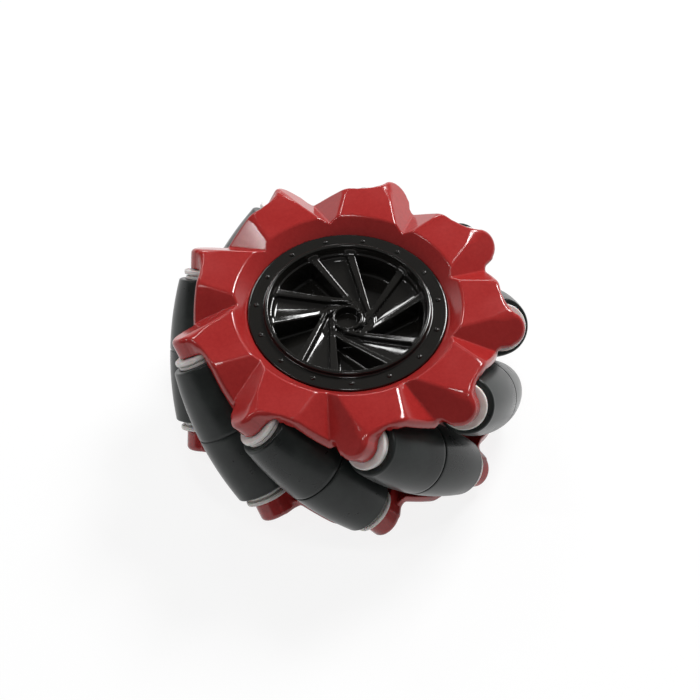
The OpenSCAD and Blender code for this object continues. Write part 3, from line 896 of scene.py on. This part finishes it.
def screw_form(points):
    x, y, z = points
    radius = np.hypot(x, y)
    pan = cut(radius - HEAD_R, between(z, SCREW_TOP - HEAD_H, SCREW_TOP), 0.7)
    shank = cut(radius - SHANK_R, between(z, SCREW_TOP - HEAD_H - SCREW_LEN, SCREW_TOP - 1), 0.3)
    x, y = np.abs(x), np.abs(y)
    arms = np.minimum(np.maximum(x - CROSS_REACH, y - CROSS_HALF_W),
                      np.maximum(y - CROSS_REACH, x - CROSS_HALF_W))
    recess = np.maximum(arms, SCREW_TOP - CROSS_DEPTH - z)
    return cut(np.minimum(pan, shank), -recess, 0.1)


SCREW_BOX = ((-HEAD_R, -HEAD_R, SCREW_TOP - HEAD_H - SCREW_LEN), (HEAD_R, HEAD_R, SCREW_TOP))
SCREW_STEP, SCREW_KEEP = 0.16, 0.4
screw = moulded("assembly_screw_set", screw_form, *SCREW_BOX, SCREW_STEP, SCREW_KEEP, turned=True)
screws = with_tree(screw, RING_TREE, {"Number": SCREWS, "Circle radius": SCREW_CIRCLE_R * MM,
                   "First angle": 0.0, "Finish": FINISH["steel"]})
wear(screws, "steel")
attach(screws, "hub")
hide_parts("assembly_screws")

# %% [markdown]
# ## The rollers
# Each roller is a rubber sleeve on a hard core, with a white bush at each end. The sleeve's
# outline is the rolling one from above. A lathe is the natural tool for such parts, and a
# Geometry Nodes tree is a good lathe: it sweeps an outline round the axle's circle.


# %% The lathe
def lathe_tree():
    tree = bpy.data.node_groups.new("turn on an axle", "GeometryNodeTree")
    for label, kind, way in (("Outline", "Geometry", "INPUT"), ("Swing radius", "Float", "INPUT"),
                             ("Steps", "Int", "INPUT"), ("Lean", "Float", "INPUT"),
                             ("Place", "Vector", "INPUT"), ("Angle", "Float", "INPUT"),
                             ("Finish", "Material", "INPUT"), ("Turned", "Geometry", "OUTPUT")):
        tree.interface.new_socket(label, in_out=way, socket_type="NodeSocket" + kind)
    given = tree.nodes.new("NodeGroupInput").outputs
    outline = node(tree, "GeometryNodeMeshToCurve", {}, {"Mesh": given["Outline"]})
    ring = {"Resolution": given["Steps"], "Radius": given["Swing radius"]}
    circle = node(tree, "GeometryNodeCurvePrimitiveCircle", {}, ring)
    sweep = {"Curve": circle, "Profile Curve": outline}
    swept = node(tree, "GeometryNodeCurveToMesh", {}, sweep)
    tilt = node(tree, VECTOR, {}, {"X": given["Lean"]})
    leaned = node(tree, "GeometryNodeTransform", {}, {"Geometry": swept, "Rotation": tilt})
    turn = node(tree, VECTOR, {}, {"Z": given["Angle"]})
    put = {"Geometry": leaned, "Rotation": turn, "Translation": given["Place"]}
    placed = node(tree, "GeometryNodeTransform", {}, put)
    real = node(tree, "GeometryNodeRealizeInstances", {}, {"Geometry": placed})
    coated = {"Geometry": real, "Material": given["Finish"]}
    finished = node(tree, "GeometryNodeSetMaterial", {}, coated)
    node(tree, "NodeGroupOutput", {}, {0: finished})
    return tree


LATHE_TREE = lathe_tree()
SWING = 5.0


def outline_piece(name, outline):
    """A closed loop of edges: across is the distance from the axle less the swing radius."""
    mesh = bpy.data.meshes.new(name)
    count = len(outline)
    mesh.from_pydata([((r - SWING) * MM, s * MM, 0) for r, s in outline],
                     [(k, (k + 1) % count) for k in range(count)], [])
    piece = bpy.data.objects.new(name, mesh)
    bpy.context.scene.collection.objects.link(piece)
    return piece


# %% Turned pieces on an axle
def turned_piece(name, outline, joint, slot_name, steps=96):
    x, y, z = joint["pos_m"]
    piece = outline_piece(name, outline)
    piece = with_tree(piece, LATHE_TREE, {"Swing radius": SWING * MM, "Steps": steps, "Lean": lean,
                      "Place": (x, y, z), "Angle": math.atan2(y, x), "Finish": FINISH[slot_name]})
    wear(piece, slot_name)
    mesh = piece.data
    mesh.polygons.foreach_set("use_smooth", [True] * len(mesh.polygons))
    mesh.set_sharp_from_angle(angle=math.radians(40))
    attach(piece, joint["child"])
    return piece


def arc(centre_r, centre_s, radius, start, end, steps=6):
    """Points of a rounded corner, from one direction to another."""
    angles = [math.radians(start + (end - start) * k / steps) for k in range(steps + 1)]
    return [(centre_r + radius * math.cos(a), centre_s + radius * math.sin(a)) for a in angles]


# %% [markdown]
# The sleeve is moulded in two halves, which leaves a fine parting groove round its middle. Its
# ends are rounded and close in on the core.

# %% The sleeve's outline
CORE_R, GROOVE_W, GROOVE_D, END_ROUND = 6.0, 0.5, 0.35, 0.6
STATIONS = 26


def sleeve_outline():
    stations = np.linspace(2 * GROOVE_W, sleeve_end - END_ROUND, STATIONS)
    side = [(float(np.interp(s, SPAN_S, SPAN_R)), float(s)) for s in stations]
    edge_r = side[-1][0] - END_ROUND
    crest = side[0][0]
    groove = [(crest - GROOVE_D, 0), (crest - GROOVE_D, GROOVE_W * 0.4), (crest - 0.05, GROOVE_W * 0.5),
              (crest, GROOVE_W * 0.7)]
    front_half = groove[1:] + side + arc(edge_r, sleeve_end - END_ROUND, END_ROUND, 10, 90)
    front_half += arc(CORE_R + 0.3, sleeve_end - 0.3, 0.3, 90, 180, 3)
    rear_half = [(r, -s) for r, s in reversed(front_half)]
    return rear_half + [groove[0]] + front_half


# %% [markdown]
# A bush has a spigot inside the core, a collar just outside the sleeve, a narrow neck and a
# flange that runs against the lug. A side of 1 makes the front bush and -1 the rear one.

# %% A bush's outline
BORE_R, SPIGOT_R, NECK_R, COLLAR_R, FLANGE_R = 1.55, 3.97, 5.2, 5.9, 6.4
SPIGOT_LEN, NECK_W = 9, 0.4


def bush_outline(side):
    inner, collar_in, collar_top = sleeve_end - SPIGOT_LEN, sleeve_end + 0.02, flange_in - NECK_W
    points = [(BORE_R, inner), (SPIGOT_R - 0.3, inner), (SPIGOT_R, inner + 0.3), (SPIGOT_R, collar_in)]
    points += [(COLLAR_R - 0.1, collar_in), (COLLAR_R, sleeve_end + 0.12)]
    points += arc(COLLAR_R - 0.2, collar_top - 0.2, 0.2, 0, 90, 4)
    points += [(NECK_R, collar_top), (NECK_R, flange_in)]
    points += arc(FLANGE_R - 0.3, flange_in + 0.3, 0.3, -90, 0, 4)
    points += arc(FLANGE_R - 0.4, flange_out - 0.4, 0.4, 0, 90, 5)
    points += [(BORE_R + 0.3, flange_out), (BORE_R + 0.07, flange_out - 0.08)]
    points += [(BORE_R, flange_out - 0.3)]
    return [(r, side * s) for r, s in points]


# %% Sleeves and bushes for every roller
SLEEVE = sleeve_outline()
for number, joint in enumerate(hinges, 1):
    sleeve = turned_piece(f"rubber_sleeve_{number}", SLEEVE, joint, "sleeve_rubber")
    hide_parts(f"roller_sleeve_{number}")
    for end, side in (("front", 1), ("rear", -1)):
        bush = turned_piece(f"{end}_bush_turned_{number}", bush_outline(side), joint, "white_plastic", 64)
        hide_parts(f"{end}_bush_{number}")
print("a sleeve has", len(sleeve.data.polygons), "faces, a bush", len(bush.data.polygons))

# %% [markdown]
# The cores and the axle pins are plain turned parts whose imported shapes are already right. They
# stay as they are and only get their finishes.

# %% Cores and pins
for name, packed in frame["nodes"].items():
    for start, slot_name in (("roller_core", "core_plastic"), ("axle_pin", "steel")):
        if name.startswith(start):
            for place in packed.material_slots:
                place.material = FINISH[slot_name]

# %% [markdown]
# ## Floor, light and camera
# The wheel lies on a plain white floor that runs on to the horizon. For the camera and for
# reflections the floor glows a little, so that it reads as white, but part of it is lit, so the
# wheel keeps a soft shadow. Overhead the studio is dim. One soft box lights the wheel; the small
# lamps draw highlights along the moulded edges and stay clear of the directions that the large
# faces mirror, except the side spot, which puts one pale glint on a tooth.


# %% Floor
def white_floor():
    material, tree, _ = new_material("white studio floor")
    ray = node(tree, "ShaderNodeLightPath").outputs
    seen = node(tree, MATH, {}, {0: ray["Is Camera Ray"], 1: ray["Is Glossy Ray"]}, operation="MAXIMUM")
    seen = node(tree, MATH, {}, {0: seen, 1: ray["Is Transmission Ray"]}, operation="MAXIMUM")
    lit = node(tree, "ShaderNodeBsdfDiffuse", {"Color": (0.8, 0.8, 0.8, 1)})
    lit_part = node(tree, "ShaderNodeBsdfDiffuse", {"Color": (FLOOR_LIT, FLOOR_LIT, FLOOR_LIT, 1)})
    glow = node(tree, "ShaderNodeEmission", {"Color": (1, 1, 1, 1), "Strength": 1 - FLOOR_LIT * 0.85})
    shown = node(tree, "ShaderNodeAddShader", {}, {0: lit_part, 1: glow})
    mixed = node(tree, "ShaderNodeMixShader", {}, {0: seen, 1: lit, 2: shown})
    node(tree, "ShaderNodeOutputMaterial", {}, {"Surface": mixed})
    return material


FLOOR_LIT = 0.16
FLOOR_HALF, FLOOR_GAP = 6.0, 0.02 * MM
corners = [(-1, -1), (1, -1), (1, 1), (-1, 1)]
floor_mesh = bpy.data.meshes.new("floor")
floor_mesh.from_pydata([(x * FLOOR_HALF, y * FLOOR_HALF, -FLOOR_GAP) for x, y in corners], [], [(0, 1, 2, 3)])
floor = bpy.data.objects.new("floor", floor_mesh)
bpy.context.scene.collection.objects.link(floor)
floor.data.materials.append(white_floor())
floor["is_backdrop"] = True


# %% Surroundings: white near the horizon, dim overhead
def surroundings():
    world = bpy.data.worlds.new("studio")
    world.use_nodes = True
    tree = world.node_tree
    tree.nodes.clear()
    place = node(tree, "ShaderNodeTexCoord").outputs["Generated"]
    height = node(tree, "ShaderNodeSeparateXYZ", {}, {"Vector": place}).outputs["Z"]
    tone = node(tree, RAMP, {}, {"Fac": height}, [(0.0, 1.0), (0.12, 1.0), (0.25, CEILING), (1.0, CEILING)])
    glow = node(tree, "ShaderNodeBackground", {"Strength": 1.0}, {"Color": tone})
    node(tree, "ShaderNodeOutputWorld", {}, {"Surface": glow})
    bpy.context.scene.world = world


CEILING = 0.12
surroundings()


# %% Soft boxes
def soft_box(name, place, size, watts, aim=(0, 0, 0.03)):
    data = bpy.data.lights.new(name, "AREA")
    data.shape, data.size, data.size_y, data.energy = "RECTANGLE", size[0], size[1], watts
    lamp = bpy.data.objects.new(name, data)
    toward = Vector(aim) - Vector(place)
    lamp.matrix_world = Matrix.Translation(place) @ toward.to_track_quat("-Z", "Y").to_matrix().to_4x4()
    bpy.context.scene.collection.objects.link(lamp)


soft_box("key", (0.61, 0.47, 0.75), (0.32, 0.32), 9.1)
soft_box("overhead lamp", (0.0, -0.05, 1.1), (0.12, 0.12), 1.1)
soft_box("back window", (-0.03, 0.73, 0.7), (0.16, 0.1), 0.8)
soft_box("left strip", (-0.47, 0.17, 0.9), (0.05, 0.3), 0.8)
soft_box("low strip", (0.33, 0.95, 0.24), (0.3, 0.05), 0.5)
soft_box("side spot", (-0.597, 0.381, 0.456), (0.03, 0.03), 0.15)
print("lamps:", sorted(lamp.name for lamp in bpy.data.lights))

# %% [markdown]
# The camera looks down on the front plate at a steep angle through a long lens, so the near and
# far teeth keep almost the same size. Its place, its line of sight and its upward direction were
# fitted once and are stated as numbers.

# %% Camera
FOCAL, SENSOR = 112.227, 36.0
EYE = (-0.114221, -0.345651, 0.495145)
FORWARD = Vector((0.19305, 0.58041, -0.79111))
UP = Vector((0.24130, 0.75343, 0.61165))
lens = bpy.data.cameras.new("camera")
lens.lens, lens.sensor_width, lens.clip_start = FOCAL, SENSOR, 0.01
camera = bpy.data.objects.new("camera", lens)
side = FORWARD.cross(UP).normalized()
up = side.cross(FORWARD).normalized()
turned = Matrix((side, up, -FORWARD.normalized())).transposed().to_4x4()
camera.matrix_world = Matrix.Translation(EYE) @ turned
bpy.context.scene.collection.objects.link(camera)
bpy.context.scene.camera = camera
bpy.context.scene.view_settings.view_transform = "Standard"

visual_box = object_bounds()
growth = [round((b - a) / MM, 2) for c, v in zip(cad_box, visual_box) for a, b in zip(c, v)]
print("box grows by", growth, "mm")
